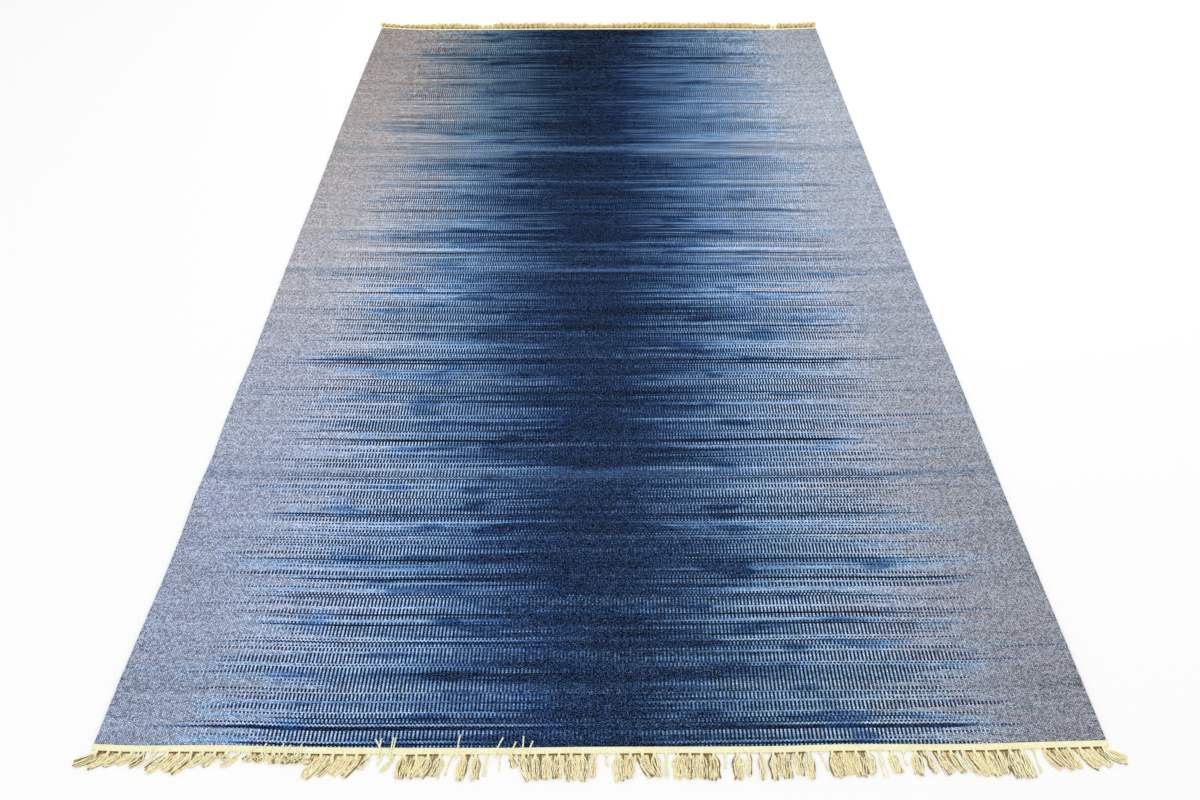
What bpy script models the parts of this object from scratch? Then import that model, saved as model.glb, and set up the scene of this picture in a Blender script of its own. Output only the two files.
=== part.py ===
# Dhurrie rug, a flat-woven floor rug lying open: a dyed weft-faced field, an undyed woven
# heading band across each end, and the warp ends beyond it, gathered into small bundles.
# Metres, +Z up. The weft runs along X and the warp along Y, and the floor is z = 0.
# The origin is on the floor, under the middle of the cloth.

import math
import random

import bmesh
import bpy
from mathutils import Vector

# Driving dimensions
FIELD_WIDTH = 1.80          # selvedge to selvedge
FIELD_LENGTH = 2.97         # first dyed pick to last dyed pick
FIELD_THICKNESS = 0.004
HEADING_WIDTH = 0.012       # undyed band, along the warp
HEADING_THICKNESS = 0.0032
PIECE_GAP = 0.0003          # clearance between neighbouring solids
ROOT_STRIP_WIDTH = 0.003    # the row of knots that the bundles hang from
FRINGE_THICKNESS = 0.0026
BUNDLE_COUNT = 86           # bundles along one end
NECK_HALF_WIDTH = 0.0021    # half the width of a bundle where it is knotted
BELLY_HALF_WIDTH = 0.0088   # the most that a full bundle spreads to either side
THIN_SHARE = 0.2            # share of that which the thinnest bundle would keep
ROOM_SHARE = 0.43           # share of the room to its neighbour that a bundle's side takes
END_STEPS = 48              # points along an end of the cloth
SIDE_STEPS = 60             # points along a selvedge

# How far each edge strays outward from the plain rectangle.
# Columns: share of the way along the edge, outward offset in millimetres.
NEAR_EDGE = (               # from the left corner to the right
    (0.00, 0.0), (0.04, 3.0), (0.12, 2.5), (0.20, 6.0), (0.26, 7.5), (0.40, 8.5),
    (0.48, 7.0), (0.66, 6.3), (0.74, 3.0), (0.86, 2.8), (0.94, -1.0), (1.00, -3.5),
)
FAR_EDGE = (                # from the left corner to the right
    (0.00, 20.0), (0.03, 12.0), (0.08, 2.0), (0.18, -2.0), (0.40, 3.0), (0.70, 4.0),
    (0.90, -1.0), (0.95, 4.0), (1.00, 12.0),
)
LEFT_EDGE = (               # from the near corner to the far one
    (0.00, 3.5), (0.06, 2.0), (0.10, -2.5), (0.15, -4.0), (0.19, 0.5), (0.225, -4.5),
    (0.26, -0.5), (0.29, -0.5), (0.34, -4.0), (0.41, -1.0), (0.50, 1.5), (0.62, 2.5),
    (0.74, 6.0), (0.84, 6.5), (0.94, 5.0), (1.00, 2.0),
)
RIGHT_EDGE = (              # from the near corner to the far one
    (0.00, 3.0), (0.07, 2.0), (0.15, -1.0), (0.33, -0.5), (0.43, -4.0), (0.80, -4.5),
    (1.00, -1.0),
)

# How the bundles lie. Columns: the first bundle of a group counted from the left, the last,
# how far the first leans towards the right in degrees, how far the last does, length in
# millimetres, how full the bundles are.
NEAR_LAY = (
    (0, 1, -62, -52, 38, 1.0), (2, 2, -48, -48, 29, 1.0), (3, 4, -46, -44, 26, 0.8),
    (5, 5, -50, -50, 36, 0.4), (6, 8, -42, -38, 38, 1.0), (9, 10, -42, -40, 29, 0.9),
    (11, 11, -30, -30, 13, 0.7), (12, 12, -52, -52, 36, 0.5), (13, 14, -25, -20, 13, 0.8),
    (15, 18, 0, -20, 14, 0.9), (19, 20, -36, -34, 43, 1.0), (21, 22, -32, -30, 40, 1.0),
    (23, 23, -34, -34, 28, 0.6), (24, 24, -20, -20, 16, 0.2), (25, 25, -36, -36, 34, 0.4),
    (26, 26, -8, -8, 38, 1.0), (27, 29, -20, -18, 38, 1.0), (30, 30, -14, -14, 40, 0.3),
    (31, 31, -10, -10, 40, 0.8), (32, 32, 0, 0, 43, 0.8), (33, 33, -3, -3, 41, 0.35),
    (34, 34, 0, 0, 26, 0.2), (35, 35, 30, 30, 21, 0.6), (36, 36, 20, 20, 41, 1.0),
    (37, 39, 6, -6, 41, 1.0), (40, 41, 0, -2, 41, 1.0), (42, 42, -4, -4, 40, 0.6),
    (43, 43, 2, 2, 20, 0.2), (44, 45, 7, -7, 41, 1.0), (46, 47, 28, 16, 41, 1.0),
    (48, 48, 2, 2, 38, 0.35), (49, 52, 3, -5, 40, 1.0), (53, 53, 0, 0, 26, 0.2),
    (54, 54, -4, -4, 39, 1.0), (55, 55, -4, -4, 39, 0.5), (56, 56, -2, -2, 40, 0.5),
    (57, 58, 2, -6, 40, 0.95), (59, 60, 2, 2, 40, 0.75), (61, 61, 16, 16, 31, 0.25),
    (62, 65, 8, 4, 40, 1.0), (66, 66, 4, 4, 40, 0.35), (67, 67, 8, 8, 38, 0.9),
    (68, 68, 4, 4, 26, 0.3), (69, 69, 0, 0, 41, 1.0), (70, 70, 12, 12, 40, 0.6),
    (71, 72, 24, 26, 40, 0.9), (73, 73, 30, 30, 40, 0.6), (74, 78, 18, 4, 42, 1.0),
    (79, 79, 0, 0, 38, 0.3), (80, 81, 35, 34, 35, 0.85), (82, 82, 14, 14, 33, 0.8),
    (83, 84, 34, 40, 36, 0.9), (85, 85, 58, 58, 38, 1.0),
)
FAR_LAY = (
    (0, 3, -25, -30, 32, 1.0), (4, 4, -30, -30, 24, 0.6), (5, 9, -30, -24, 36, 1.0),
    (10, 13, -18, 4, 43, 1.0), (14, 15, -4, -6, 46, 1.0), (16, 18, 6, -2, 40, 0.9),
    (19, 21, -4, 0, 33, 0.7), (22, 26, 0, 5, 46, 1.0), (27, 31, 5, -20, 44, 1.0),
    (32, 34, -15, 6, 46, 1.0), (35, 39, 8, 28, 43, 1.0), (40, 45, 28, 22, 36, 0.9),
    (46, 50, 22, 26, 44, 1.0), (51, 57, 26, 12, 47, 1.0), (58, 63, 12, 22, 46, 1.0),
    (64, 68, 20, 10, 48, 1.0), (69, 73, 8, -10, 47, 1.0), (74, 76, -8, 8, 38, 0.9),
    (77, 77, 14, 14, 22, 0.4), (78, 81, 20, 26, 43, 1.0), (82, 85, 24, 16, 45, 1.0),
)
LEAN_JITTER = 2.5           # degrees either way
LENGTH_JITTER = 0.10        # share of the length either way

# A bundle's cross-sections beyond its knot. Columns: share of its length, share of its full
# lean that it has turned, share of the full spread, share of the fringe's thickness.
BUNDLE_SECTIONS = (
    (0.28, 0.55, 0.90, 1.05),
    (0.66, 1.00, 1.00, 0.95),
    (1.00, 1.12, 0.88, 0.50),
)

MILLIMETRE = 0.001
FACING_OUT = 0.7            # a side face looks outward if its normal has this much of that way


def read_table(table, at, column):
    """Value of a table's column at a share along it, on a smooth curve through the rows."""
    places = [row[0] for row in table]
    values = [row[column] for row in table]
    last = len(places) - 1
    slopes = []
    for i in range(last + 1):
        before, after = max(i - 1, 0), min(i + 1, last)
        slopes.append((values[after] - values[before]) / (places[after] - places[before]))
    i = 0
    while i < last - 1 and at > places[i + 1]:
        i += 1
    span = places[i + 1] - places[i]
    t = min(max((at - places[i]) / span, 0.0), 1.0)
    rise = 3 * t ** 2 - 2 * t ** 3
    leave = t ** 3 - 2 * t ** 2 + t
    arrive = t ** 3 - t ** 2
    blend = values[i] * (1 - rise) + values[i + 1] * rise
    return blend + span * (leave * slopes[i] + arrive * slopes[i + 1])


def side_x(along, right):
    """X of a selvedge at a share of the way from the near end to the far end."""
    if right:
        return FIELD_WIDTH / 2 + read_table(RIGHT_EDGE, along, 1) * MILLIMETRE
    return -FIELD_WIDTH / 2 - read_table(LEFT_EDGE, along, 1) * MILLIMETRE


def end_offset(across, far):
    """Outward offset of an end, in straight runs, so that neighbouring pieces share its line."""
    edge = FAR_EDGE if far else NEAR_EDGE
    step = min(int(across * END_STEPS), END_STEPS - 1)
    before = read_table(edge, step / END_STEPS, 1)
    after = read_table(edge, (step + 1) / END_STEPS, 1)
    return (before + (after - before) * (across * END_STEPS - step)) * MILLIMETRE


def end_point(across, far, outward=0.0):
    """Point on an end of the dyed field at a share of the way across, moved outward."""
    along = 1.0 if far else 0.0
    left = side_x(along, right=False)
    right = side_x(along, right=True)
    x = left + (right - left) * across
    reach = FIELD_LENGTH / 2 + end_offset(across, far) + outward
    return Vector((x, reach if far else -reach))


def side_point(along, right):
    """Point on a selvedge at a share of the way from the near end to the far end."""
    across = 1.0 if right else 0.0
    near = end_point(across, far=False).y
    far = end_point(across, far=True).y
    return Vector((side_x(along, right), near + (far - near) * along))


def fabric_material(name, colour, roughness):
    """Plain matt cloth material."""
    material = bpy.data.materials.new(name)
    material.use_nodes = True
    shader = material.node_tree.nodes["Principled BSDF"]
    shader.inputs["Base Color"].default_value = (*colour, 1.0)
    shader.inputs["Roughness"].default_value = roughness
    shader.inputs["Metallic"].default_value = 0.0
    material.diffuse_color = (*colour, 1.0)
    return material


def flat_piece(name, outline, thickness, material, collection):
    """Flat cloth piece: a closed outline on the floor, filled and given its thickness."""
    curve = bpy.data.curves.new(name, "CURVE")
    curve.dimensions = "2D"
    curve.fill_mode = "BOTH"
    curve.extrude = thickness / 2
    spline = curve.splines.new("POLY")
    spline.points.add(len(outline) - 1)
    for point, place in zip(spline.points, outline):
        point.co = (place.x, place.y, 0.0, 1.0)
    spline.use_cyclic_u = True
    piece = bpy.data.objects.new(name, curve)
    piece.location.z = thickness / 2
    curve.materials.append(material)
    collection.objects.link(piece)
    return piece


def field_outline():
    """Outline of the dyed field, counter-clockwise from its near left corner."""
    ends = [i / END_STEPS for i in range(END_STEPS)]
    sides = [i / SIDE_STEPS for i in range(SIDE_STEPS)]
    near = [end_point(share, far=False) for share in ends]
    right = [side_point(share, right=True) for share in sides]
    far = [end_point(1.0 - share, far=True) for share in ends]
    left = [side_point(1.0 - share, right=False) for share in sides]
    return near + right + far + left


def heading_outline(far):
    """Outline of the band that follows the field's end, a gap away from it."""
    shares = [i / END_STEPS for i in range(END_STEPS + 1)]
    inner = [end_point(share, far, PIECE_GAP) for share in shares]
    outer = [end_point(share, far, PIECE_GAP + HEADING_WIDTH) for share in shares]
    return inner + outer[::-1]


def root_strip(bm, far, roots):
    """Strip of knots along the heading, with a side face at each bundle's root."""
    half_share = NECK_HALF_WIDTH / FIELD_WIDTH
    stations = [0.0]
    for share in roots:
        stations += [share - half_share, share + half_share]
    stations.append(1.0)
    start = 2 * PIECE_GAP + HEADING_WIDTH
    grid = bmesh.ops.create_grid(bm, x_segments=len(stations) - 1, y_segments=1, size=1.0)
    for vert in grid["verts"]:
        step = round((vert.co.x + 1.0) / 2.0 * (len(stations) - 1))
        outward = start + (ROOT_STRIP_WIDTH if vert.co.y > 0 else 0.0)
        vert.co = end_point(stations[step], far, outward).to_3d()
    raised = bmesh.ops.extrude_face_region(bm, geom=bm.faces[:])
    tops = [item for item in raised["geom"] if isinstance(item, bmesh.types.BMVert)]
    bmesh.ops.translate(bm, verts=tops, vec=(0.0, 0.0, FRINGE_THICKNESS))
    bmesh.ops.recalc_face_normals(bm, faces=bm.faces[:])


def root_faces(bm, far):
    """The strip's outer side faces that lie at the roots, in the order of the roots."""
    out = 1.0 if far else -1.0
    outer = [face for face in bm.faces if face.normal.y * out > FACING_OUT]
    outer.sort(key=lambda face: face.calc_center_median().x)
    return outer[1::2]      # every second face, because gaps and roots alternate


def bundle_rows(lay, seed):
    """Lean in radians, length and fullness of every bundle, from left to right."""
    chance = random.Random(seed)
    rows = []
    for first, last, lean_first, lean_last, length, fullness in lay:
        for i in range(first, last + 1):
            share = (i - first) / max(last - first, 1)
            lean = lean_first + (lean_last - lean_first) * share
            lean += chance.uniform(-LEAN_JITTER, LEAN_JITTER)
            reach = length * (1.0 + chance.uniform(-LENGTH_JITTER, LENGTH_JITTER))
            rows.append((math.radians(lean), reach * MILLIMETRE, fullness))
    return rows


def bundle_path(root, lean, length, far):
    """Places of a bundle's sections on the floor, each with its direction across.

    The path leaves the heading straight and turns towards its lean.
    """
    out = 1.0 if far else -1.0
    place, reached, path = root.copy(), 0.0, []
    for section in BUNDLE_SECTIONS:
        share, turned = section[:2]
        angle = lean * turned
        way = Vector((math.sin(angle), out * math.cos(angle)))
        across = Vector((math.cos(angle), -out * math.sin(angle)))
        place = place + way * length * (share - reached)
        reached = share
        path.append((place, across))
    return path


def side_room(place, across, neighbour, belly):
    """How far a bundle may spread towards a neighbour's section, or freely with none."""
    if neighbour is None:
        return belly
    return min(belly, abs((neighbour - place).dot(across)) * ROOM_SHARE)


def spread_bundle(bm, face, path, belly, left_path, right_path):
    """Extrude a root face along a bundle's path, level on the floor, into its sections."""
    for step, section in enumerate(BUNDLE_SECTIONS):
        place, across = path[step]
        spread, height = section[2], section[3]
        left = side_room(place, across, left_path[step][0] if left_path else None, belly)
        right = side_room(place, across, right_path[step][0] if right_path else None, belly)
        face = bmesh.ops.extrude_discrete_faces(bm, faces=[face])["faces"][0]
        middle = face.calc_center_median()
        for vert in face.verts:
            side = right if vert.co.x > middle.x else -left
            top = vert.co.z > middle.z
            flat = place + across * side * spread
            vert.co = (flat.x, flat.y, FRINGE_THICKNESS * height if top else 0.0)
        face.normal_update()


def fringe(name, far, lay, seed, material, collection):
    """One end's fringe: the root strip and every bundle, in one closed mesh."""
    roots = [(i + 0.5) / BUNDLE_COUNT for i in range(BUNDLE_COUNT)]
    outward = 2 * PIECE_GAP + HEADING_WIDTH + ROOT_STRIP_WIDTH
    rows = bundle_rows(lay, seed)
    paths = []
    for share, row in zip(roots, rows):
        paths.append(bundle_path(end_point(share, far, outward), row[0], row[1], far))
    bm = bmesh.new()
    root_strip(bm, far, roots)
    for i, face in enumerate(root_faces(bm, far)):
        left_path = paths[i - 1] if i > 0 else None
        right_path = paths[i + 1] if i + 1 < BUNDLE_COUNT else None
        belly = BELLY_HALF_WIDTH * (THIN_SHARE + (1.0 - THIN_SHARE) * rows[i][2])
        spread_bundle(bm, face, paths[i], belly, left_path, right_path)
    mesh = bpy.data.meshes.new(name)
    bm.to_mesh(mesh)
    bm.free()
    mesh.materials.append(material)
    piece = bpy.data.objects.new(name, mesh)
    collection.objects.link(piece)
    return piece


def build_rug():
    """Clear the scene and make the rug's five pieces, parented to one empty."""
    for item in list(bpy.data.objects):
        bpy.data.objects.remove(item, do_unlink=True)
    collection = bpy.data.collections.new("dhurrie_rug")
    bpy.context.scene.collection.children.link(collection)
    dyed = fabric_material("dyed_weft", (0.100, 0.180, 0.330), 0.92)
    band = fabric_material("undyed_heading", (0.900, 0.820, 0.560), 0.85)
    yarn = fabric_material("undyed_warp", (0.740, 0.640, 0.420), 0.88)
    pieces = [
        flat_piece("woven_field", field_outline(), FIELD_THICKNESS, dyed, collection),
        flat_piece("heading_near", heading_outline(False), HEADING_THICKNESS, band, collection),
        flat_piece("heading_far", heading_outline(True), HEADING_THICKNESS, band, collection),
        fringe("fringe_near", False, NEAR_LAY, 11, yarn, collection),
        fringe("fringe_far", True, FAR_LAY, 23, yarn, collection),
    ]
    holder = bpy.data.objects.new("rug", None)
    collection.objects.link(holder)
    for piece in pieces:
        piece.parent = holder


build_rug()
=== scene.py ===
# Looks of the dhurrie rug: ribbed space-dyed weft, undyed heading bands and knotted fringe.
# Metres, +Z up. The weft runs along X and the warp along Y, and the floor is z = 0.
import math
import random

import bpy
import numpy as np
from mathutils import Matrix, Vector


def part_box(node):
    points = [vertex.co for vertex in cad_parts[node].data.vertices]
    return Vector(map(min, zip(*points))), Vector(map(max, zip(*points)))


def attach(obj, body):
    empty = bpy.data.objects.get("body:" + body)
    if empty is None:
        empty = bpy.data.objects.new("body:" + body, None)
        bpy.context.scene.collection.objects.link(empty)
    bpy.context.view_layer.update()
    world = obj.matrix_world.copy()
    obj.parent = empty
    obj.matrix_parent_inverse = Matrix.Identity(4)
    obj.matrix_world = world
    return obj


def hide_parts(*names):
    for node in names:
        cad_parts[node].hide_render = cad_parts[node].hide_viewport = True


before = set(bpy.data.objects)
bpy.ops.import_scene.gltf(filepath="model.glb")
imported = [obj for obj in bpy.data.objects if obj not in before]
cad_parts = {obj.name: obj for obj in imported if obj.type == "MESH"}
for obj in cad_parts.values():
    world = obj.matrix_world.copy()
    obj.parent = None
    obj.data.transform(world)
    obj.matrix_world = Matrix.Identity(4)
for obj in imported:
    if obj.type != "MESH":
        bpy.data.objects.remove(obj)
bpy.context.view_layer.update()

millimetre = 0.001


# The cloth's outline, read from the frame

outlineReach = {"side": 0.03, "end": 0.04}  # how deep into the cloth's box its edges stray


def readOutline():
    # Points of each edge of the field, in order along it
    low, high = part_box("woven_field")
    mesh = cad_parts["woven_field"].data
    flat = np.empty(3 * len(mesh.vertices))
    mesh.vertices.foreach_get("co", flat)
    plan = np.unique(flat.reshape(-1, 3)[:, :2].round(6), axis=0)
    x, y = plan.T
    side, end = outlineReach["side"], outlineReach["end"]
    parts = (
        ("left", 1, x < low.x + side), ("right", 1, x > high.x - side),
        ("near", 0, y < low.y + end), ("far", 0, y > high.y - end),
    )
    return {name: plan[part][np.argsort(plan[part, axis])] for name, axis, part in parts}


edges = readOutline()
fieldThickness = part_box("woven_field")[1].z
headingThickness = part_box("heading_near")[1].z
headingWidth = 0.012
pieceGap = 0.0003
rootWidth = 0.003           # the row of knots beyond the heading
fieldWidth = edges["near"][-1, 0] - edges["near"][0, 0]
fieldLength = np.median(edges["far"][:, 1]) - np.median(edges["near"][:, 1])
outwards = {"near": -1.0, "far": 1.0}       # which way along Y each end faces


def edgeAt(name, share):
    # X of a selvedge, or Y of an end, at a share of the way along it
    axis = 0 if name in ("left", "right") else 1
    place, run = edges[name][:, axis], edges[name][:, 1 - axis]
    return np.interp(share, (run - run[0]) / (run[-1] - run[0]), place)


def clothXY(across, along):
    # x = left + (right - left) across, y = near + (far - near) along
    left, right = edgeAt("left", along), edgeAt("right", along)
    near, far = edgeAt("near", across), edgeAt("far", across)
    return left + (right - left) * across, near + (far - near) * along


def beyondEnd(across, outward, end):
    # Point past an end of the field, straight outward along Y
    x, y = clothXY(across, 1.0 if end == "far" else 0.0)
    return x, y + outwards[end] * outward


# Meshes from arrays

def addObject(name, data):
    item = bpy.data.objects.new(name, data)
    bpy.context.scene.collection.objects.link(item)
    return item


def closedFaces(rows, columns):
    # Quads between neighbouring rows, each row a closed loop of columns.
    # Also each corner's row and column, the column running on to the loop's full count.
    row, column = np.meshgrid(np.arange(rows - 1), np.arange(columns), indexing="ij")
    corners = [(row, column), (row, column + 1), (row + 1, column + 1), (row + 1, column)]
    places = np.stack([np.stack(corner, -1) for corner in corners], 2).reshape(-1, 4, 2)
    return places[..., 0] * columns + places[..., 1] % columns, places


def makePiece(name, points, faces, maps=(), marks=()):
    # faces is a list of index arrays, maps of (name, list of corner coordinates),
    # marks of (name, value for each point)
    mesh = bpy.data.meshes.new(name)
    corners = np.concatenate([part.ravel() for part in faces]).astype(np.int32)
    counts = np.concatenate([np.full(len(part), part.shape[1]) for part in faces])
    starts = (np.cumsum(counts) - counts).astype(np.int32)
    mesh.vertices.add(len(points))
    mesh.vertices.foreach_set("co", np.asarray(points, np.float32).ravel())
    mesh.loops.add(len(corners))
    mesh.loops.foreach_set("vertex_index", corners)
    mesh.polygons.add(len(counts))
    mesh.polygons.foreach_set("loop_start", starts)
    mesh.polygons.foreach_set("use_smooth", np.ones(len(counts), bool))
    for label, places in maps:
        flat = np.concatenate([part.reshape(-1, 2) for part in places])
        layer = mesh.uv_layers.new(name=label)
        layer.uv.foreach_set("vector", flat.astype(np.float32).ravel())
    for label, values in marks:
        attribute = mesh.attributes.new(label, "FLOAT", "POINT")
        attribute.data.foreach_set("value", np.asarray(values, np.float32).ravel())
    mesh.update(calc_edges=True)
    mesh.validate()
    return addObject(name, mesh)


def finishPiece(piece, material, slot, *nodes):
    piece.data.materials.append(material)
    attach(piece, "root")
    if nodes:
        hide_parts(*nodes)


# Node trees written as arithmetic

def wiresOf(node):
    return [Wire(socket) for socket in node.outputs]


def plug(tree, entry, value):
    if isinstance(value, Wire):
        tree.links.new(value.socket, entry)
    elif isinstance(value, bpy.types.NodeSocket):
        tree.links.new(value, entry)
    else:
        entry.default_value = value


def addNode(tree, kind, entries, **settings):
    # entries maps an input's name or number to what goes into it
    node = tree.nodes.new(f"ShaderNode{kind}")
    for key, value in settings.items():
        setattr(node, key, value)
    for key, value in entries.items():
        plug(tree, node.inputs[key], value)
    return node


def worked(operation):
    # A method that puts a wire, and any value beside it, through a Math node
    def method(*wires):
        entries = dict(enumerate(wires))
        return wiresOf(addNode(wires[0].tree, "Math", entries, operation=operation))[0]
    return method


class Wire:                 # a number running through a node tree
    def __init__(self, socket):
        self.tree = socket.id_data
        self.socket = socket

    __add__ = worked("ADD")
    __sub__ = worked("SUBTRACT")
    __mul__ = worked("MULTIPLY")
    __truediv__ = worked("DIVIDE")
    __pow__ = worked("POWER")
    floor = worked("FLOOR")
    fraction = worked("FRACT")
    size = worked("ABSOLUTE")
    above = worked("GREATER_THAN")
    atLeast = worked("MAXIMUM")
    atMost = worked("MINIMUM")

    def __rsub__(self, other):
        return wiresOf(addNode(self.tree, "Math", {0: other, 1: self}, operation="SUBTRACT"))[0]

    def rise(self, low, high):      # smooth step from 0 at low to 1 at high
        entries = {0: self, 1: low, 2: high}
        node = addNode(self.tree, "MapRange", entries, interpolation_type="SMOOTHSTEP")
        return wiresOf(node)[0]


def startGroup(name, entries, exits):
    # A shader node group of floats, with the values of its inputs
    tree = bpy.data.node_groups.new(name, "ShaderNodeTree")
    for label in (*entries, *exits):
        way = "INPUT" if label in entries else "OUTPUT"
        socket = tree.interface.new_socket(label, in_out=way, socket_type="NodeSocketFloat")
        socket.default_value = entries.get(label, 0.0)
    source = tree.nodes.new("NodeGroupInput")
    return tree, wiresOf(source), tree.nodes.new("NodeGroupOutput").inputs


def placeGroup(tree, group, **values):
    return wiresOf(addNode(tree, "Group", values, node_tree=group))


def startMaterial(name, roughness, sheen, specular=0.08):
    material = bpy.data.materials.new(name)
    material.use_nodes = True
    tree = material.node_tree
    shader = tree.nodes["Principled BSDF"]
    looks = {"Roughness": roughness, "Specular IOR Level": specular, "Sheen Weight": sheen,
             "Sheen Roughness": 0.6}
    for label, value in looks.items():
        shader.inputs[label].default_value = value
    return material, tree, shader


def objectPlace(tree):
    return tree.nodes.new("ShaderNodeTexCoord").outputs["Object"]


def apart(tree, three):
    # The parts of a place or a colour
    return wiresOf(addNode(tree, "SeparateXYZ", {0: three}))


def mapPlace(tree, label):
    # Across and along from a piece's own UV map
    return apart(tree, addNode(tree, "UVMap", {}, uv_map=label).outputs[0])[:2]


def pointMark(tree, label):
    return Wire(addNode(tree, "Attribute", {}, attribute_name=label).outputs["Fac"])


def threeOf(tree, x, y, z):
    return addNode(tree, "CombineXYZ", {0: x, 1: y, 2: z}).outputs[0]


def scatter(tree, x, y=0.0, z=0.0):
    # Three even random numbers for each place
    entries = {"Vector": threeOf(tree, x, y, z)}
    node = addNode(tree, "TexWhiteNoise", entries, noise_dimensions="3D")
    return apart(tree, node.outputs["Color"])


def runsOf(tree, at):
    # Three random numbers that hold along uneven runs about 1 long
    node = addNode(tree, "TexVoronoi", {"W": at, "Scale": 1.0}, voronoi_dimensions="1D")
    return apart(tree, node.outputs["Color"])


def drift(tree, place, scale, detail):
    # Soft noise about 0, mostly within half a unit, along one line where scale is a number
    # and through space where it has three
    dimensions, entry = "1D", "W"
    if isinstance(scale, tuple):
        place = addNode(tree, "Mapping", {"Vector": place, "Scale": scale}).outputs[0]
        dimensions, entry, scale = "3D", "Vector", 1.0
    entries = {entry: place, "Scale": scale, "Detail": detail}
    return wiresOf(addNode(tree, "TexNoise", entries, noise_dimensions=dimensions))[0] - 0.5


def linear(colour):
    # From the 0 to 255 of a paint chart to the shader's own scale
    shares = np.asarray(colour) / 255.0
    return (*np.where(shares < 0.04045, shares / 12.92, ((shares + 0.055) / 1.055) ** 2.4), 1.0)


def ramp(tree, at, stops, colours=True):
    # Stops are (position, colour), or (position, number) where colours is False
    node = addNode(tree, "ValToRGB", {0: at})
    elements = node.color_ramp.elements
    while len(elements) < len(stops):
        elements.new(0.5)
    for element, (position, value) in zip(elements, stops):
        element.position = position
        element.color = linear(value) if colours else (value, value, value, 1.0)
    return node.outputs[0]


def blend(tree, share, first, second, mode="MIX"):
    entries = {0: share, 6: first, 7: second}
    return addNode(tree, "Mix", entries, data_type="RGBA", blend_type=mode).outputs[2]


def coat(tree, shader, colour, tone, height, distance, strength):
    # The colour times a grey tone, with a bump from the height
    tones = threeOf(tree, tone, tone, tone)
    plug(tree, shader.inputs["Base Color"], blend(tree, 1.0, colour, tones, "MULTIPLY"))
    entries = {"Strength": strength, "Distance": distance, "Height": height}
    plug(tree, shader.inputs["Normal"], addNode(tree, "Bump", entries).outputs[0])


# Node groups

weftFloat = 0.0036          # what shows of one pick, along the warp
weaveSquareness = 2.5       # 2 for round floats, more for flatter ones
weaveFullness = 0.6         # less for broader crowns


def makeWeaveCells():
    # Ribs along the warp, and on each the floats of the picks that pass over it. The picks
    # of one shed lie half a float beyond those of the other. Raised is
    # ((1 - |2u - 1|^squareness) (1 - |2v - 1|^squareness))^fullness within a float.
    entries = {"Ribs": 492.0, "Length": 2.97, "Float": weftFloat, "Sway": 0.008}
    exits = ("Rib", "Pick", "Shed", "Raised")
    tree, source, sink = startGroup("weaveCells", entries, exits)
    ribs, length, span, sway = source[:4]
    across, along = mapPlace(tree, "weave")
    wander = drift(tree, objectPlace(tree), (2.6, 1.3, 0.0), 1.0)
    rib = across * ribs
    ribNumber = rib.floor()
    shed = (ribNumber * 0.5).fraction() * 2.0
    pick = (along * length + wander * sway) / span + shed * 0.5
    overRib, alongFloat = [
        1.0 - (wire.fraction() * 2.0 - 1.0).size() ** weaveSquareness for wire in (rib, pick)
    ]
    raised = (overRib * alongFloat).atLeast(0.0) ** weaveFullness
    for label, wire in zip(exits, (ribNumber, pick.floor(), shed, raised)):
        plug(tree, sink[label], wire)
    return tree


def makeFibre():
    # Loose fibres lying along the object's X: how light they are and how far they stand up
    tree, source, sink = startGroup("fibre", {"Depth": 1.0}, ("Tone", "Height"))
    place = objectPlace(tree)
    strands = drift(tree, place, (900.0, 2600.0, 2600.0), 2.0)
    tufts = drift(tree, place, (240.0, 420.0, 420.0), 2.0)
    plug(tree, sink["Tone"], (strands * 0.6 + tufts * 0.8) * source[0] + 1.0)
    plug(tree, sink["Height"], strands + tufts)
    return tree


weaveCells = makeWeaveCells()
fibre = makeFibre()


# The dyed field

field = {
    "ribs": 492,
    "samplesPerRib": 4,
    "rows": 26,
    "relief": 0.00055,      # depth of the valley between two ribs
    "unevenness": 0.00035,  # slow rise and fall of the cloth
    "scallop": 0.0011,      # reach of the last floats over the heading
    "scallopJitter": 0.18,
    "cordRise": 0.0004,     # selvedge cord above the ribs
    "cordUnder": (0.12, 0.4),       # where its underside comes down, in ribs from the edge
    "ribJitter": 0.00005,
    "seed": 5,
}

# Slow rise and fall of the cloth. Columns: waves along X and Y, phase, share.
swells = (
    (3.1, 1.9, 0.4, 1.0), (7.3, -2.6, 0.0, 0.6), (-4.4, 5.2, 1.3, 0.7), (13.0, 9.0, 0.0, 0.3),
)

# Rows near an end. Columns: distance inside the end in millimetres, share of the thickness at the
# top face, share of the thickness at the underside.
endRounding = ((0.0, 0.62, 0.25), (0.5, 0.86, 0.06), (1.6, 0.98, 0.0), (4.0, 1.0, 0.0))


def fieldStations():
    # Shares along the cloth with the top and underside heights of the rounded ends
    marks = np.array(endRounding)
    shares = marks[:, 0] * millimetre / fieldLength
    middle = np.linspace(shares[-1], 1.0 - shares[-1], field["rows"] + 2)[1:-1]
    along = np.concatenate([shares, middle, 1.0 - shares[::-1]])
    top = np.concatenate([marks[:, 1], np.ones(len(middle)), marks[::-1, 1]])
    under = np.concatenate([marks[:, 2], np.zeros(len(middle)), marks[::-1, 2]])
    return along, top, under


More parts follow.
